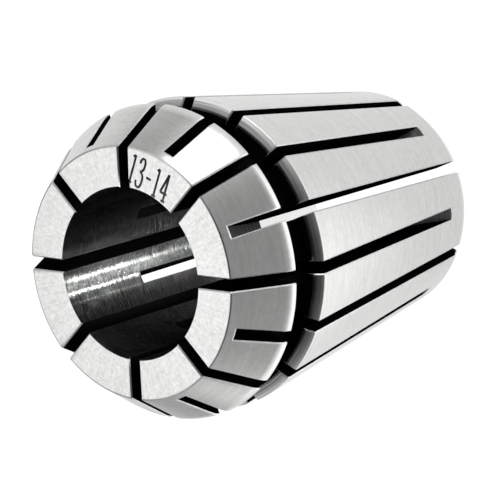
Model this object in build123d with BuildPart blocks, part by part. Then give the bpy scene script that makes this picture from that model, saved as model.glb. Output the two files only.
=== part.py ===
"""A spring collet for 13 to 14 mm shanks: one turned, slotted and ground piece of spring steel.

It stands on its rear face, with Z along its axis and the clamping nut's side upwards. A long
8 degree seat fits the holder, a short 30 degree head takes the nut, and the groove between
them takes the nut's pull-out ring. Eight slots sawn in from the front and eight from the rear,
half a pitch apart, leave a zigzag spring that closes evenly on the shank.
"""

from build123d import *
from math import radians, sqrt, tan
import os

# Whole collet: seat and head are ground to the same largest diameter
overall_length = 34.0
outer_diameter = 26.0
bore_diameter = 14.0
bore_chamfer = 0.2

# Seat: tapers down to the rear, with a lead-in chamfer there
seat_angle = 8.0
seat_chamfer_length = 0.42
seat_chamfer_angle = 60.0
rear_chamfer_length = 1.1
rear_chamfer_angle = 30.0

# Groove: room for the nut's pull-out ring
groove_width = 3.3
groove_depth = 2.0
groove_corner_radius = 0.3

# Head: a short land, then the cone that the nut presses on
head_length = 5.0
head_angle = 30.0
land_length = 0.3
land_edge_radius = 0.12
face_edge_radius = 0.25

# Slots: each the path of one saw blade, stopped short of the collet's other end
slots_per_end = 8
slot_width = 1.0
saw_diameter = 63.0
saw_overrun = 1.85
front_slot_stop = 3.0
rear_slot_stop = 0.7

outer_radius = outer_diameter / 2
bore_radius = bore_diameter / 2
bore_mouth_radius = bore_radius + bore_chamfer
groove_radius = outer_radius - groove_depth
groove_front = overall_length - head_length
groove_rear = groove_front - groove_width
land_front = groove_front + land_length
seat_front = groove_rear - seat_chamfer_length


def seat_radius(height):
    """Radius of the 8 degree seat at a height above the rear face."""
    return outer_radius - (seat_front - height) * tan(radians(seat_angle))


def head_radius(height):
    """Radius of the 30 degree cone at a height above the rear face."""
    return outer_radius - (height - land_front) * tan(radians(head_angle))


def chamfer_depth(length, angle):
    """How far a chamfer goes in towards the axis, from its length along it."""
    return length * tan(radians(angle))


face_radius = head_radius(overall_length)
groove_mouth_radius = outer_radius - chamfer_depth(seat_chamfer_length, seat_chamfer_angle)
rear_face_radius = seat_radius(rear_chamfer_length) - chamfer_depth(rear_chamfer_length, rear_chamfer_angle)

# The saw's axis stays this far from the collet's, so that its rim just clears the bore's wall
saw_radius = saw_diameter / 2
saw_axis_radius = bore_radius - saw_overrun + saw_radius


def saw_reach(surface_radius):
    """How far ahead of its own axis the saw cuts at a radius from the collet's axis."""
    return sqrt(saw_radius**2 - (saw_axis_radius - surface_radius) ** 2)


# Where the saw's axis starts and stops, for a cut from each end
front_saw_start = overall_length + saw_radius
front_saw_stop = front_slot_stop + saw_reach(seat_radius(front_slot_stop))
rear_saw_start = -saw_radius
rear_slot_end = overall_length - rear_slot_stop
rear_saw_stop = rear_slot_end - saw_reach(head_radius(rear_slot_end))


def saw_path(start, stop):
    """Space that the saw sweeps while its axis goes from start to stop, along the collet."""
    with BuildPart() as path:
        with BuildSketch(Plane.XZ):
            with Locations((saw_axis_radius, (start + stop) / 2)):
                SlotCenterToCenter(abs(start - stop), saw_diameter, rotation=90)
        extrude(amount=slot_width / 2, both=True)
    return path.part


rounded_corners = [
    ((groove_radius, groove_rear), groove_corner_radius),
    ((groove_radius, groove_front), groove_corner_radius),
    ((outer_radius, groove_front), land_edge_radius),
    ((face_radius, overall_length), face_edge_radius),
]

# Collet: turned in one profile, then slotted from both ends
with BuildPart() as collet:
    with BuildSketch(Plane.XZ) as profile:
        with BuildLine():
            Polyline(
                (bore_mouth_radius, 0),
                (rear_face_radius, 0),
                (seat_radius(rear_chamfer_length), rear_chamfer_length),
                (outer_radius, seat_front),
                (groove_mouth_radius, groove_rear),
                (groove_radius, groove_rear),
                (groove_radius, groove_front),
                (outer_radius, groove_front),
                (outer_radius, land_front),
                (face_radius, overall_length),
                (bore_mouth_radius, overall_length),
                (bore_radius, overall_length - bore_chamfer),
                (bore_radius, bore_chamfer),
                close=True,
            )
        make_face()
        for corner, radius in rounded_corners:
            fillet(profile.vertices().sort_by_distance(corner)[0], radius)
    revolve(axis=Axis.Z)
    with PolarLocations(0, slots_per_end):
        add(saw_path(front_saw_start, front_saw_stop), mode=Mode.SUBTRACT)
    with PolarLocations(0, slots_per_end, start_angle=180 / slots_per_end):
        add(saw_path(rear_saw_start, rear_saw_stop), mode=Mode.SUBTRACT)

collet.part.label = "collet"
os.makedirs("parts", exist_ok=True)
export_step(collet.part, "parts/collet.step")
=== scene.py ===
from math import atan2, cos, hypot, pi, radians, sin, sqrt, tan

import bpy
from mathutils import Matrix, Vector


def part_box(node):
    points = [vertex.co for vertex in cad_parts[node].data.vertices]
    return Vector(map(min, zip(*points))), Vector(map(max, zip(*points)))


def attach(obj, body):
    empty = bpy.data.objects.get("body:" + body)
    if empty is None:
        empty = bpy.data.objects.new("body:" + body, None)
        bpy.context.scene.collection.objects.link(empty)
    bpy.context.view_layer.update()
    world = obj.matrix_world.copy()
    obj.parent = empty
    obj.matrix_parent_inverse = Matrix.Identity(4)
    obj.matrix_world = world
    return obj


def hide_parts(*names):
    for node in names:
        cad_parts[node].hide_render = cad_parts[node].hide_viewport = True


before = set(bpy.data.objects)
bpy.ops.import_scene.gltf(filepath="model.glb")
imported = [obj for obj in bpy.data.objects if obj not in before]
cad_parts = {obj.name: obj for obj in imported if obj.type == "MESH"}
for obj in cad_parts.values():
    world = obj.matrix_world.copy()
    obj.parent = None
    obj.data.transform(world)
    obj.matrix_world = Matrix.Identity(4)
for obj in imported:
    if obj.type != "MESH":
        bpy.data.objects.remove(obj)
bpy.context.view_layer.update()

# Turned body. The real collet is a bar of spring steel, bored and turned in one profile, hardened, then
# ground on the seat, the head and the end faces. Here the profile is drawn point by point and spun.
MM = 0.001
lowest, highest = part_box("collet")
overall_length = highest.z - lowest.z
outer_radius = 13.0 * MM
bore_radius = 7.0 * MM
bore_chamfer = 0.1 * MM
seat_angle = radians(8)
head_angle = radians(30)
head_length = 5.0 * MM
land_length = 0.42 * MM
groove_width = 3.3 * MM
groove_radius = outer_radius - 2.0 * MM
seat_chamfer_length = 0.42 * MM
seat_chamfer_angle = radians(60)
rear_chamfer_length = 1.1 * MM
rear_chamfer_angle = radians(30)
turning_steps = 192
weld_gap = 0.002 * MM

groove_front = overall_length - head_length
groove_rear = groove_front - groove_width
land_front = groove_front + land_length
seat_front = groove_rear - seat_chamfer_length


def seat_radius(height):
    """Radius of the seat at a height above the rear face."""
    return outer_radius - (seat_front - height) * tan(seat_angle)


def head_radius(height):
    """Radius of the head's cone at a height above the rear face."""
    return outer_radius - (height - land_front) * tan(head_angle)


def edit(piece):
    """Open one piece alone in edit mode."""
    bpy.ops.object.select_all(action="DESELECT")
    piece.select_set(True)
    bpy.context.view_layer.objects.active = piece
    bpy.ops.object.mode_set(mode="EDIT")


def pick_corners(piece, wanted):
    """Select the vertices of a piece in edit mode that a test wants."""
    bpy.ops.mesh.select_mode(type="VERT")
    bpy.ops.mesh.select_all(action="DESELECT")
    bpy.ops.object.mode_set(mode="OBJECT")
    for vertex in piece.data.vertices:
        vertex.select = bool(wanted(vertex))
    bpy.ops.object.mode_set(mode="EDIT")


def draw_outline(name, points):
    """Draw a closed flat outline in the XZ plane, one extruded vertex after another, and fill it."""
    first_radius, first_height = points[0]
    bpy.ops.object.select_all(action="DESELECT")
    bpy.ops.mesh.primitive_plane_add(size=MM, location=(first_radius, 0, first_height))
    outline = bpy.context.object
    outline.name = name
    bpy.ops.object.transform_apply(location=True, rotation=True, scale=True)
    edit(outline)
    bpy.ops.mesh.select_all(action="SELECT")
    bpy.ops.mesh.merge(type="CENTER")
    for here, there in zip(points, points[1:]):
        step = (there[0] - here[0], 0, there[1] - here[1])
        bpy.ops.mesh.extrude_vertices_move(TRANSFORM_OT_translate={"value": step})
    bpy.ops.mesh.select_all(action="SELECT")
    bpy.ops.mesh.edge_face_add()
    return outline


# The head's rear edge is ground softly round: each facet's length in mm and its slope in degrees
head_edge_facets = [
    (0.05, 2), (0.09, 6), (0.09, 10), (0.09, 14), (0.09, 18), (0.10, 21), (0.12, 24), (0.15, 26), (0.18, 28),
]
edge_steps = [
    (length * MM * sin(radians(slope)), length * MM * cos(radians(slope)))
    for length, slope in head_edge_facets
]
edge_depth = sum(inward for inward, upward in edge_steps)
edge_rise = sum(upward for inward, upward in edge_steps)
edge_radius = outer_radius
edge_height = land_front + edge_depth / tan(head_angle) - edge_rise
head_edge = [(edge_radius, edge_height)]
for inward, upward in edge_steps:
    edge_radius -= inward
    edge_height += upward
    head_edge.append((edge_radius, edge_height))

seat_rear_edge = (seat_radius(rear_chamfer_length), rear_chamfer_length)
rear_face_edge = (seat_rear_edge[0] - rear_chamfer_length * tan(rear_chamfer_angle), 0)
seat_front_edge = (outer_radius, seat_front)
groove_mouth_radius = outer_radius - seat_chamfer_length * tan(seat_chamfer_angle)
groove_mouth = (groove_mouth_radius, groove_rear)
groove_rear_corner = (groove_radius, groove_rear)
groove_front_corner = (groove_radius, groove_front)
head_rim = (outer_radius, groove_front)
face_edge = (head_radius(overall_length), overall_length)
collet = draw_outline("slotted_collet", [
    (bore_radius + bore_chamfer, 0),
    rear_face_edge,
    seat_rear_edge,
    seat_front_edge,
    groove_mouth,
    groove_rear_corner,
    groove_front_corner,
    head_rim,
    *head_edge,
    face_edge,
    (bore_radius + bore_chamfer, overall_length),
    (bore_radius, overall_length - bore_chamfer),
    (bore_radius, bore_chamfer),
])

# Each rounded corner of the profile, the length taken off each side, and its steps
rounded_corners = [
    (seat_rear_edge, 0.10 * MM, 3),
    (seat_front_edge, 0.10 * MM, 4),
    (groove_mouth, 0.08 * MM, 3),
    (groove_rear_corner, 0.30 * MM, 4),
    (groove_front_corner, 0.30 * MM, 4),
    (head_rim, 0.04 * MM, 3),
    (face_edge, 0.11 * MM, 4),
]
for (radius, height), length, steps in rounded_corners:
    corner = Vector((radius, 0, height))
    pick_corners(collet, lambda vertex: (vertex.co - corner).length < weld_gap)
    bpy.ops.mesh.bevel(offset=length, segments=steps, affect="VERTICES")
bpy.ops.mesh.select_all(action="SELECT")
bpy.ops.mesh.delete(type="ONLY_FACE")
bpy.ops.mesh.select_all(action="SELECT")
bpy.ops.mesh.spin(steps=turning_steps, angle=2 * pi, center=(0, 0, 0), axis=(0, 0, 1))
bpy.ops.mesh.select_all(action="SELECT")
bpy.ops.mesh.remove_doubles(threshold=weld_gap)
bpy.ops.mesh.normals_make_consistent(inside=False)
bpy.ops.object.mode_set(mode="OBJECT")


def linear(hex_colour):
    """Linear RGBA of an sRGB hex colour."""
    parts = [int(hex_colour[place:place + 2], 16) / 255 for place in (1, 3, 5)]
    return [part / 12.92 if part <= 0.04045 else ((part + 0.055) / 1.055) ** 2.4 for part in parts] + [1]


def add_node(tree, kind, settings, links):
    """Add a node to a tree, with its settings and with values or other nodes' outputs in its inputs."""
    node = tree.nodes.new(kind)
    for name, value in settings.items():
        setattr(node, name, value)
    for name, value in links.items():
        if isinstance(value, bpy.types.NodeSocket):
            tree.links.new(value, node.inputs[name])
        else:
            node.inputs[name].default_value = value
    return node


def new_material(name, colour, metallic, roughness):
    """A material with its base colour, metallic and roughness set, its node tree and its shader."""
    material = bpy.data.materials.new(name)
    material.use_nodes = True
    shader = material.node_tree.nodes["Principled BSDF"]
    shader.inputs["Base Color"].default_value = linear(colour)
    shader.inputs["Metallic"].default_value = metallic
    shader.inputs["Roughness"].default_value = roughness
    material.diffuse_color = linear(colour)
    return material, material.node_tree, shader


def turned_place(tree):
    """Where a point lies on a turned piece: its place, its direction from the axis, radius and height."""
    place = add_node(tree, "ShaderNodeTexCoord", {}, {}).outputs["Object"]
    flat = add_node(tree, "ShaderNodeVectorMath", {"operation": "MULTIPLY"}, {0: place, 1: (1, 1, 0)})
    direction = add_node(tree, "ShaderNodeVectorMath", {"operation": "NORMALIZE"}, {0: flat.outputs[0]})
    radius = add_node(tree, "ShaderNodeVectorMath", {"operation": "LENGTH"}, {0: flat.outputs[0]})
    height = add_node(tree, "ShaderNodeSeparateXYZ", {}, {0: place})
    return {
        "place": place,
        "direction": direction.outputs[0],
        "radius": radius.outputs["Value"],
        "height": height.outputs["Z"],
    }


def turned_marks(tree, at, along, turns, spacing, detail):
    """Noise drawn out around the axis: marks so many to the radian, and so far apart along a length."""
    around = add_node(
        tree, "ShaderNodeVectorMath", {"operation": "SCALE"}, {0: at["direction"], "Scale": turns}
    )
    across = add_node(tree, "ShaderNodeMath", {"operation": "DIVIDE"}, {0: at[along], 1: spacing})
    rise = add_node(tree, "ShaderNodeCombineXYZ", {}, {"Z": across.outputs[0]})
    spot = add_node(
        tree, "ShaderNodeVectorMath", {"operation": "ADD"}, {0: around.outputs[0], 1: rise.outputs[0]}
    )
    return add_node(
        tree, "ShaderNodeTexNoise", {"noise_dimensions": "3D"},
        {"Vector": spot.outputs[0], "Scale": 1.0, "Detail": detail, "Roughness": 0.6},
    ).outputs["Fac"]


# Nearly all of a noise lies between these two of its values
noise_low = 0.3
noise_high = 0.7


def shade_by_marks(tree, shader, marks, dark, light):
    """Colour a surface by the noise of its marks, from a dark shade to a light one."""
    strength = add_node(
        tree, "ShaderNodeMapRange", {},
        {"Value": marks, "From Min": noise_low, "From Max": noise_high, "To Min": 0.0, "To Max": 1.0},
    ).outputs["Result"]
    shade = add_node(
        tree, "ShaderNodeMix", {"data_type": "RGBA"},
        {"Factor": strength, "A": linear(dark), "B": linear(light)},
    ).outputs["Result"]
    tree.links.new(shade, shader.inputs["Base Color"])


# Cylindrically ground spring steel: seat and head. The wheel leaves fine marks around the axis and a
# faint mottling, which give a silky grey. Both are drawn coarser than real, so that they show.
ground_steel, tree, shader = new_material("cylindrically_ground_steel", "#C6C6C5", 1.0, 0.3)
at = turned_place(tree)
wheel_marks = turned_marks(tree, at, "height", 3.0, 0.20 * MM, 3)
mottling = add_node(
    tree, "ShaderNodeTexNoise", {},
    {"Vector": at["place"], "Scale": 1 / (0.45 * MM), "Detail": 3, "Roughness": 0.7},
).outputs["Fac"]
ground_marks = add_node(
    tree, "ShaderNodeMix", {"data_type": "FLOAT"}, {"Factor": 0.45, "A": wheel_marks, "B": mottling}
).outputs["Result"]
shade_by_marks(tree, shader, ground_marks, "#BABAB9", "#D2D2D1")

# Surface ground spring steel: the two end faces. The cup wheel leaves marks across the ring and a
# mottling, which make it look pale and a little grainy. They are drawn coarser than real.
face_steel, tree, shader = new_material("surface_ground_steel", "#E2E2E1", 1.0, 0.32)
at = turned_place(tree)
wheel_marks = turned_marks(tree, at, "radius", 70.0, 3.0 * MM, 3)
mottling = add_node(
    tree, "ShaderNodeTexNoise", {},
    {"Vector": at["place"], "Scale": 1 / (0.30 * MM), "Detail": 3, "Roughness": 0.7},
).outputs["Fac"]
face_marks = add_node(
    tree, "ShaderNodeMix", {"data_type": "FLOAT"}, {"Factor": 0.65, "A": wheel_marks, "B": mottling}
).outputs["Result"]
shade_by_marks(tree, shader, face_marks, "#C8C8C7", "#F3F3F2")
bump = add_node(
    tree, "ShaderNodeBump", {}, {"Height": wheel_marks, "Distance": 0.002 * MM, "Strength": 0.6}
)
tree.links.new(bump.outputs["Normal"], shader.inputs["Normal"])

# Turned spring steel: the seat's front chamfer, left as the lathe tool cut it and greyed by hardening.
# Its colour is painted darker towards the groove and brighter at its outer edge, a painted highlight.
turned_steel, tree, shader = new_material("turned_steel", "#C8C8C7", 1.0, 0.42)
edge_highlight_start = outer_radius - 0.55 * MM
edge_highlight_full = outer_radius - 0.05 * MM
at = turned_place(tree)
tool_marks = turned_marks(tree, at, "radius", 1.5, 0.07 * MM, 2)
# Painted highlight: the chamfer is painted brighter towards its outer edge and darker towards the groove
painted_edge_highlight = add_node(
    tree, "ShaderNodeMapRange", {"interpolation_type": "SMOOTHSTEP"},
    {"Value": at["radius"], "From Min": edge_highlight_start, "From Max": edge_highlight_full, "To Min": -0.3, "To Max": 0.6},
).outputs["Result"]
mark_strength = add_node(
    tree, "ShaderNodeMapRange", {},
    {"Value": tool_marks, "From Min": noise_low, "From Max": noise_high, "To Min": 0.0, "To Max": 1.0},
).outputs["Result"]
marks_and_edge_highlight = add_node(
    tree, "ShaderNodeMath", {"operation": "ADD"}, {0: mark_strength, 1: painted_edge_highlight}
).outputs[0]
turned_colour = add_node(
    tree, "ShaderNodeMix", {"data_type": "RGBA"},
    {"Factor": marks_and_edge_highlight, "A": linear("#8E8E8D"), "B": linear("#F0F0EF")},
).outputs["Result"]
tree.links.new(turned_colour, shader.inputs["Base Color"])

# Bored spring steel: honed after hardening, with marks around the bore that spread its glints along it.
# They are drawn coarser than real. The rear end is painted bright, a painted light, and from there to the
# mouth the wall darkens in painted shade and its marks show. Three thin lines and a faint broad band along
# it are painted highlights.
bored_steel, tree, shader = new_material("honed_steel", "#8C8C8B", 1.0, 0.17)
shader.inputs["Anisotropic"].default_value = 1.0
shader.inputs["Anisotropic Rotation"].default_value = 0.25

# Heights above the rear face between which the wall darkens in painted shade, and between which the painted
# highlights grow
painted_light_end = 10 * MM
painted_shade_start = 18 * MM
highlight_start = 20 * MM
highlight_full = 29 * MM

# Half the width of a painted highlight line's bright middle, and how far its sides waver, in radians
line_core = 0.022
raggedness = 0.06
at = turned_place(tree)
hone_marks = turned_marks(tree, at, "height", 4.0, 0.16 * MM, 3)
ragged = turned_marks(tree, at, "height", 40.0, 0.2 * MM, 2)

# Each painted highlight: its direction from the axis in degrees, its brightness, and its half width in
# radians
painted_highlight_places = [(191.0, 1.0, 0.080), (199.7, 1.0, 0.068), (206.5, 0.3, 0.055), (194.0, 0.20, 0.18)]
# Painted highlights: bright lines painted into the wall's colour
painted_highlights = 0.0
for azimuth, brightness, half_width in painted_highlight_places:
    line_direction = (cos(radians(azimuth)), sin(radians(azimuth)), 0)
    aside = add_node(
        tree, "ShaderNodeVectorMath", {"operation": "DISTANCE"}, {0: at["direction"], 1: line_direction}
    ).outputs["Value"]
    ragged_side = add_node(
        tree, "ShaderNodeMath", {"operation": "MULTIPLY_ADD"}, {0: ragged, 1: raggedness, 2: aside}
    ).outputs[0]
    highlight_line = add_node(
        tree, "ShaderNodeMapRange", {"interpolation_type": "SMOOTHSTEP"},
        {
            "Value": ragged_side, "From Min": line_core, "From Max": half_width,
            "To Min": brightness, "To Max": 0.0,
        },
    ).outputs["Result"]
    painted_highlights = add_node(tree, "ShaderNodeMath", {"operation": "MAXIMUM"}, {0: painted_highlights, 1: highlight_line}).outputs[0]
highlight_growth = add_node(
    tree, "ShaderNodeMapRange", {},
    {"Value": at["height"], "From Min": highlight_start, "From Max": highlight_full, "To Min": 0.35, "To Max": 1.0},
).outputs["Result"]
mark_breaks = add_node(
    tree, "ShaderNodeMapRange", {},
    {"Value": hone_marks, "From Min": noise_low, "From Max": noise_high, "To Min": 0.2, "To Max": 1.0},
).outputs["Result"]
highlight_breaks = add_node(
    tree, "ShaderNodeMath", {"operation": "MULTIPLY"}, {0: highlight_growth, 1: mark_breaks}
).outputs[0]
highlight_mask = add_node(tree, "ShaderNodeMath", {"operation": "MULTIPLY"}, {0: painted_highlights, 1: highlight_breaks}).outputs[0]
mark_strength = add_node(
    tree, "ShaderNodeMapRange", {},
    {"Value": hone_marks, "From Min": noise_low, "From Max": noise_high, "To Min": 0.0, "To Max": 1.0},
).outputs["Result"]
# Painted shade: the wall's dark colour, varied by its marks
painted_shade_colour = add_node(
    tree, "ShaderNodeMix", {"data_type": "RGBA"},
    {"Factor": mark_strength, "A": linear("#1C1C1C"), "B": linear("#383838")},
).outputs["Result"]
# The painted highlights are mixed into the wall's colour here
painted_highlight_colour = add_node(
    tree, "ShaderNodeMix", {"data_type": "RGBA"},
    {"Factor": highlight_mask, "A": painted_shade_colour, "B": linear("#FAFAF9")},
).outputs["Result"]
# Painted light at the rear end, blending into the painted shade towards the mouth
painted_shade_and_marks_part = add_node(
    tree, "ShaderNodeMapRange", {"interpolation_type": "SMOOTHSTEP"},
    {"Value": at["height"], "From Min": painted_light_end, "From Max": painted_shade_start, "To Min": 0.0, "To Max": 1.0},
).outputs["Result"]
bore_colour = add_node(
    tree, "ShaderNodeMix", {"data_type": "RGBA"},
    {"Factor": painted_shade_and_marks_part, "A": linear("#EDEDEC"), "B": painted_highlight_colour},
).outputs["Result"]
tree.links.new(bore_colour, shader.inputs["Base Color"])
hone_rings = turned_marks(tree, at, "height", 5.0, 0.14 * MM, 2)
bump = add_node(
    tree, "ShaderNodeBump", {}, {"Height": hone_rings, "Distance": 0.35 * MM, "Strength": painted_shade_and_marks_part}
)
tree.links.new(bump.outputs["Normal"], shader.inputs["Normal"])

# Hardening scale: the thin black oxide that the slots and the groove keep from the furnace. It is matt,
# with hardly a glint even where a lamp shines on it.
scale_black, tree, shader = new_material("hardening_scale", "#060606", 0.0, 0.65)
shader.inputs["Specular IOR Level"].default_value = 0.0
at = turned_place(tree)
patches = add_node(
    tree, "ShaderNodeTexNoise", {}, {"Vector": at["place"], "Scale": 1 / (0.6 * MM), "Detail": 4}
).outputs["Fac"]
scale_colour = add_node(
    tree, "ShaderNodeMix", {"data_type": "RGBA"},
    {"Factor": patches, "A": linear("#040404"), "B": linear("#101010")},
).outputs["Result"]
tree.links.new(scale_colour, shader.inputs["Base Color"])

# Sawn steel: the curved run-out that the saw's teeth leave in a slot's floor, greyed by hardening. The
# tooth marks lie across it, drawn coarser than real.
sawn_steel, tree, shader = new_material("sawn_steel", "#6E6E6E", 1.0, 0.5)
at = turned_place(tree)
tooth_marks = turned_marks(tree, at, "height", 1.0, 0.25 * MM, 3)
shade_by_marks(tree, shader, tooth_marks, "#2C2C2C", "#585857")

# Brushed steel: the broken edges, where a wire brush leaves the bare steel bright and a little uneven.
# The unevenness is drawn coarser than real.
edge_steel, tree, shader = new_material("brushed_edge_steel", "#CACAC9", 1.0, 0.35)
at = turned_place(tree)
brush_marks = add_node(
    tree, "ShaderNodeTexNoise", {}, {"Vector": at["place"], "Scale": 1 / (0.4 * MM), "Detail": 2}
).outputs["Fac"]
shade_by_marks(tree, shader, brush_marks, "#BEBEBD", "#D6D6D5")

# Engraved steel: the dull dark floor of the shallow lines that the marking cutter leaves, with its marks
# drawn coarser than real.
marking_grey, tree, shader = new_material("engraved_marking", "#3A3A3A", 0.0, 0.7)
at = turned_place(tree)
cutter_marks = add_node(
    tree, "ShaderNodeTexNoise", {}, {"Vector": at["place"], "Scale": 1 / (0.15 * MM), "Detail": 2}
).outputs["Fac"]
shade_by_marks(tree, shader, cutter_marks, "#303030", "#444444")

finishes = [
    ground_steel, face_steel, turned_steel, bored_steel, scale_black, sawn_steel, edge_steel, marking_grey,
]
face_margin = 0.01 * MM
straight_up = 0.999
mostly_up = 0.9


def finish_of(radius, height, normal):
    """The finish of a face of the turned body, by where it lies and which way it faces."""
    at_an_end = height < face_margin or height > overall_length - face_margin
    if at_an_end and abs(normal.z) > straight_up:
        return face_steel
    if radius < bore_radius + bore_chamfer:
        return bored_steel
    if groove_rear < height < groove_front and radius < groove_mouth_radius:
        return scale_black
    if groove_rear < height < groove_front + face_margin and abs(normal.z) > mostly_up:
        return scale_black
    if seat_front < height < groove_rear:
        return turned_steel
    return ground_steel


for finish in finishes:
    collet.data.materials.append(finish)
for face in collet.data.polygons:
    centre = face.center
    finish = finish_of(hypot(centre.x, centre.y), centre.z, face.normal)
    face.material_index = finishes.index(finish)

# Slots. A slitting saw 63 mm across and 1 mm thick cuts eight slots from the front and eight from the
# rear, half a pitch apart, and leaves its round in the floor of each. Hardening left them dark.
slots_per_end = 8
slot_width = 1.0 * MM
saw_radius = 31.5 * MM
saw_overrun = 1.2 * MM
saw_axis_radius = bore_radius - saw_overrun + saw_radius
front_slot_stop = 3.0 * MM
rear_slot_stop = 0.7 * MM
saw_steps = 256
blade_margin = 0.001 * MM


def saw_reach(surface_radius):
    """How far ahead of its own axis the saw cuts at a radius from the collet's axis."""
    return sqrt(saw_radius**2 - (saw_axis_radius - surface_radius) ** 2)


front_saw_stop = front_slot_stop + saw_reach(seat_radius(front_slot_stop))
rear_slot_end = overall_length - rear_slot_stop
rear_saw_stop = rear_slot_end - saw_reach(head_radius(rear_slot_end))


def saw_cut(name, stop, travel, first_angle):
    """Everything that one end's saw cuts sweep: a round blade drawn out along its travel, eight times."""
    bpy.ops.object.select_all(action="DESELECT")
    bpy.ops.mesh.primitive_cylinder_add(
        vertices=saw_steps, radius=saw_radius, depth=slot_width, location=(saw_axis_radius, 0, stop),
        rotation=(pi / 2, 0, 0),
    )
    blade = bpy.context.object
    blade.name = name
    blade.data.materials.append(scale_black)
    blade.data.materials.append(sawn_steel)
    bpy.ops.object.transform_apply(location=True, rotation=True, scale=True)
    # The blade's flat sides leave the dark walls, and its rim the sawn floor
    for face in blade.data.polygons:
        face.material_index = 0 if abs(face.normal.y) > 0.5 else 1
    edit(blade)
    side = 1 if travel > 0 else -1
    pick_corners(blade, lambda vertex: (vertex.co.z - stop) * side > blade_margin)
    bpy.ops.transform.translate(value=(0, 0, travel))
    bpy.ops.mesh.select_all(action="SELECT")
    bpy.ops.transform.rotate(value=first_angle, orient_axis="Z", center_override=(0, 0, 0))
    for copy in range(slots_per_end - 1):
        bpy.ops.mesh.duplicate()
        bpy.ops.transform.rotate(value=2 * pi / slots_per_end, orient_axis="Z", center_override=(0, 0, 0))
    bpy.ops.object.mode_set(mode="OBJECT")
    return blade


def cut_away(piece, cutter):
    """Take a cutter's shape out of a piece, leaving the cutter's own finish on the new walls."""
    bpy.ops.object.select_all(action="DESELECT")
    bpy.context.view_layer.objects.active = piece
    cut = piece.modifiers.new("cut", "BOOLEAN")
    cut.object = cutter
    cut.operation = "DIFFERENCE"
    cut.solver = "EXACT"
    cut.material_mode = "TRANSFER"
    bpy.ops.object.modifier_apply(modifier=cut.name)
    bpy.data.objects.remove(cutter)


front_cuts = saw_cut("front_saw", front_saw_stop, overall_length, 0)
rear_cuts = saw_cut("rear_saw", rear_saw_stop, -overall_length, pi / slots_per_end)
cut_away(collet, front_cuts)
cut_away(collet, rear_cuts)

# Size marking. The clamping range, 13 to 14 mm, is engraved in the front face between two slots. Each
# numeral is a few strokes of one round cutter, narrow and with short feet, as on measuring tools.
marking_text = "13-14"
marking_azimuth = radians(67.5)
marking_radius = 8.40 * MM
marking_offset = 0.66 * MM
numeral_height = 2.36 * MM
numeral_width = 0.3 * numeral_height
numeral_spacing = 0.86 * MM
stroke_width = 0.21 * MM
stroke_weld_gap = 0.0005 * MM

# Strokes of each numeral, as points across and up in shares of its height
numeral_strokes = {
    "1": [[(0.05, 0.90), (0.15, 0.99)], [(0.15, 1.0), (0.15, 0)], [(0.06, 0), (0.24, 0)]],
    "3": [
        [(0.03, 0.80), (0.03, 1.0), (0.23, 1.04), (0.25, 0.58), (0.10, 0.54)],
        [(0.10, 0.54), (0.28, 0.50), (0.26, -0.04), (0.03, -0.02), (0.02, 0.18)],
    ],
    "-": [[(0.04, 0.46), (0.26, 0.46)]],
    "4": [
        [(0, 0.28), (0.30, 0.28)],
        [(0.01, 0.28), (0.20, 0.99)],
        [(0.21, 1.0), (0.21, 0)],
        [(0.12, 0), (0.29, 0)],
    ],
}


def draw_stroke(name, points):
    """One engraved stroke as a thin round bar, straight between two points or curved along more."""
    curved = len(points) > 2
    line = bpy.data.curves.new(name, "CURVE")
    line.dimensions = "3D"
    line.bevel_depth = stroke_width / 2
    line.bevel_resolution = 2
    line.use_fill_caps = True
    line.resolution_u = 5
    spline = line.splines.new("NURBS" if curved else "POLY")
    spline.points.add(len(points) - 1)
    for point, (across, up) in zip(spline.points, points):
        point.co = (across, up, 0, 1)
    if curved:
        spline.order_u = 3
        spline.use_endpoint_u = True
    stroke = bpy.data.objects.new(name, line)
    bpy.context.scene.collection.objects.link(stroke)
    bpy.ops.object.select_all(action="DESELECT")
    stroke.select_set(True)
    bpy.context.view_layer.objects.active = stroke
    bpy.ops.object.convert(target="MESH")
    return bpy.context.object


marking_length = numeral_spacing * (len(marking_text) - 1) + numeral_width
outward = Vector((cos(marking_azimuth), sin(marking_azimuth), 0))
sideways = Vector((-sin(marking_azimuth), cos(marking_azimuth), 0))
marking_centre = outward * marking_radius + sideways * marking_offset + Vector((0, 0, overall_length))
for place, numeral in enumerate(marking_text):
    left = place * numeral_spacing - marking_length / 2
    for points in numeral_strokes[numeral]:
        route = [(left + across * numeral_height, (up - 0.5) * numeral_height) for across, up in points]
        stroke = draw_stroke("size_marking", route)
        edit(stroke)
        bpy.ops.mesh.select_all(action="SELECT")
        bpy.ops.mesh.remove_doubles(threshold=stroke_weld_gap)
        bpy.ops.mesh.normals_make_consistent(inside=False)
        bpy.ops.object.mode_set(mode="OBJECT")
        stroke.rotation_euler = (0, 0, marking_azimuth - pi / 2)
        stroke.location = marking_centre
        bpy.ops.object.transform_apply(location=True, rotation=True, scale=True)
        stroke.data.materials.append(marking_grey)
        cut_away(collet, stroke)

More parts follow.
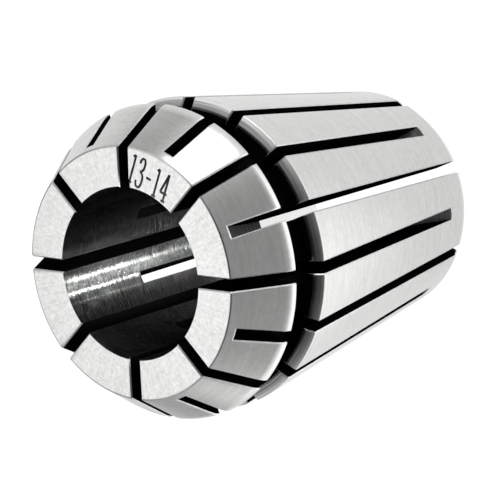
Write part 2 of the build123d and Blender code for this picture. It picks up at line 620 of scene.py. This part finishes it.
# Broken edges. The burrs along the slots are brushed off by hand, which leaves a narrow bevel on every
# edge between a slot and a ground or turned surface. The head's thin rear rim is left out.
broken_edge_width = 0.10 * MM
fine_weld_gap = 0.001 * MM
rim_margin = 0.1 * MM
edit(collet)
bpy.ops.mesh.select_all(action="SELECT")
bpy.ops.mesh.remove_doubles(threshold=fine_weld_gap)
bpy.ops.object.mode_set(mode="OBJECT")
slot_finishes = {collet.data.materials.find(finish.name) for finish in (scale_black, sawn_steel)}
brushed_finishes = {
    collet.data.materials.find(finish.name) for finish in (ground_steel, face_steel, turned_steel)
}
finishes_beside = {}
for face in collet.data.polygons:
    for edge in face.edge_keys:
        finishes_beside.setdefault(edge, set()).add(face.material_index)
weights = collet.data.attributes.new("bevel_weight_edge", "FLOAT", "EDGE")
for edge, weight in zip(collet.data.edges, weights.data):
    beside = finishes_beside[edge.key]
    start, end = [collet.data.vertices[corner].co for corner in edge.vertices]
    on_head_rim = abs(start.z - end.z) < fine_weld_gap and abs(start.z - groove_front) < rim_margin
    on_slot = beside & slot_finishes and beside & brushed_finishes and not on_head_rim
    weight.value = 1.0 if on_slot else 0.0

broken_edge = collet.modifiers.new("broken_edge", "BEVEL")
broken_edge.width = broken_edge_width
broken_edge.segments = 1
broken_edge.limit_method = "WEIGHT"
broken_edge.use_clamp_overlap = False
broken_edge.material = collet.data.materials.find(edge_steel.name)
bpy.context.view_layer.objects.active = collet
collet.select_set(True)
bpy.ops.object.modifier_apply(modifier=broken_edge.name)
bpy.ops.object.shade_smooth_by_angle(angle=radians(30))
facing = collet.modifiers.new("facing", "WEIGHTED_NORMAL")
facing.mode = "FACE_AREA"
facing.weight = 100
facing.keep_sharp = True
bpy.ops.object.modifier_apply(modifier=facing.name)

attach(collet, "root")
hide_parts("collet")

# Camera. It stands where the photograph's stood, far off with a long lens, and is turned on its own
# axis, because the photograph shows the standing collet lying on its side.
photo_size = 500
camera_place = Vector((180.30, 58.566, 243.707)) * MM
camera_target = Vector((-0.537, -1.231, 17.756)) * MM
camera_roll = radians(-107.06)
camera_focal_pixels = 3536.6
camera_data = bpy.data.cameras.new("camera")
camera_data.sensor_width = 36.0
camera_data.lens = camera_focal_pixels * camera_data.sensor_width / photo_size
camera_data.clip_start = 0.01
camera = bpy.data.objects.new("camera", camera_data)
bpy.context.scene.collection.objects.link(camera)
level = (camera_target - camera_place).to_track_quat("-Z", "Y").to_matrix()
rolled = level @ Matrix.Rotation(camera_roll, 3, "Z")
camera.matrix_world = Matrix.Translation(camera_place) @ rolled.to_4x4()
bpy.context.scene.camera = camera

# Floor. A white acrylic light table that the collet stands on, lit from below. It glows more on the
# camera's side, less in one patch beside the collet that greys the head, and fades out far away.
table_radius = 350 * MM
bright_direction = (0.966, -0.259, 0)
plain_up_to = 12 * MM
bright_from = 32 * MM
dim_patch = (-42 * MM, -78 * MM, 0)
patch_inner_radius = 18 * MM
patch_outer_radius = 44 * MM
fading_start = 90 * MM
fading_end = 240 * MM
bpy.ops.object.select_all(action="DESELECT")
bpy.ops.mesh.primitive_circle_add(vertices=96, radius=table_radius, fill_type="NGON", location=(0, 0, 0))
floor = bpy.context.object
floor.name = "floor"
acrylic, tree, shader = new_material("opal_acrylic", "#6C6C6C", 0.0, 0.6)
at = turned_place(tree)
brighter_side = add_node(
    tree, "ShaderNodeVectorMath", {"operation": "DOT_PRODUCT"}, {0: at["place"], 1: bright_direction}
).outputs["Value"]
panel_light = add_node(
    tree, "ShaderNodeMapRange", {"interpolation_type": "SMOOTHSTEP"},
    {"Value": brighter_side, "From Min": plain_up_to, "From Max": bright_from, "To Min": 1.0, "To Max": 1.8},
).outputs["Result"]
from_patch = add_node(
    tree, "ShaderNodeVectorMath", {"operation": "DISTANCE"}, {0: at["place"], 1: dim_patch}
).outputs["Value"]
patch_light = add_node(
    tree, "ShaderNodeMapRange", {"interpolation_type": "SMOOTHSTEP"},
    {
        "Value": from_patch, "From Min": patch_inner_radius, "From Max": patch_outer_radius,
        "To Min": 0.35, "To Max": 1.0,
    },
).outputs["Result"]
fading = add_node(
    tree, "ShaderNodeMapRange", {"interpolation_type": "SMOOTHSTEP"},
    {"Value": at["radius"], "From Min": fading_start, "From Max": fading_end, "To Min": 1.0, "To Max": 0.2},
).outputs["Result"]
lit = add_node(tree, "ShaderNodeMath", {"operation": "MULTIPLY"}, {0: panel_light, 1: patch_light}).outputs[0]
glow = add_node(tree, "ShaderNodeMath", {"operation": "MULTIPLY"}, {0: lit, 1: fading}).outputs[0]
shader.inputs["Emission Color"].default_value = linear("#FFFFFF")
tree.links.new(glow, shader.inputs["Emission Strength"])
floor.data.materials.append(acrylic)

# Studio. A grey room that darkens towards its ceiling, softboxes on stands around the table, and a row
# of small lamps with snoots that shine into the bore only.
world = bpy.data.worlds.new("studio")
world.use_nodes = True
tree = world.node_tree
skyward = add_node(tree, "ShaderNodeTexCoord", {}, {}).outputs["Generated"]
upward = add_node(tree, "ShaderNodeSeparateXYZ", {}, {0: skyward}).outputs["Z"]
climb = add_node(
    tree, "ShaderNodeMapRange", {"interpolation_type": "SMOOTHSTEP"},
    {"Value": upward, "From Min": 0.05, "From Max": 0.85, "To Min": 0.0, "To Max": 1.0},
).outputs["Result"]
room = add_node(
    tree, "ShaderNodeMix", {"data_type": "RGBA"},
    {"Factor": climb, "A": linear("#ABABAB"), "B": linear("#303030")},
).outputs["Result"]
tree.links.new(room, tree.nodes["Background"].inputs["Color"])
bpy.context.scene.world = world
bpy.context.scene.view_settings.view_transform = "Standard"


def towards(azimuth, elevation):
    """The direction that lies at an azimuth and an elevation, given in degrees."""
    flat = cos(radians(elevation))
    return Vector((flat * cos(radians(azimuth)), flat * sin(radians(azimuth)), sin(radians(elevation))))


def hang_lamp(name, data, aim, direction, distance):
    """Put a lamp at a distance in one direction from the point that it is aimed at."""
    lamp = bpy.data.objects.new(name, data)
    bpy.context.scene.collection.objects.link(lamp)
    lamp.location = aim + direction * distance
    lamp.rotation_euler = (-direction).to_track_quat("-Z", "Y").to_euler()


def softbox(name, azimuth, elevation, distance, width, height, brightness):
    """An area light that faces the collet, its sizes in metres and its brightness that of its cloth."""
    data = bpy.data.lights.new(name, "AREA")
    data.shape = "RECTANGLE"
    data.size = width
    data.size_y = height
    data.energy = brightness * pi * width * height
    hang_lamp(name, data, Vector((0, 0, overall_length / 2)), towards(azimuth, elevation), distance)


softbox("key_softbox", -150, 60, 0.45, 0.36, 0.30, 1.35)
softbox("high_softbox", 120, 45, 0.45, 0.50, 0.44, 0.95)
softbox("fill_softbox", -108, 32, 0.45, 0.24, 0.20, 0.6)
softbox("strip_light", 81, 8, 0.30, 0.14, 0.10, 4.0)

snoot_azimuths = range(-8, 26, 3)
snoot_elevation = 52
snoot_distance = 0.45
snoot_power = 3.0
beam_radius = 0.90 * bore_radius
bore_mouth = Vector((0, 0, overall_length))
for azimuth in snoot_azimuths:
    beam = bpy.data.lights.new("bore_snoot", "SPOT")
    beam.energy = snoot_power
    beam.spot_size = 2 * atan2(beam_radius, snoot_distance)
    beam.spot_blend = 0.2
    beam.shadow_soft_size = 2 * MM
    hang_lamp("bore_snoot", beam, bore_mouth, towards(azimuth, snoot_elevation), snoot_distance)
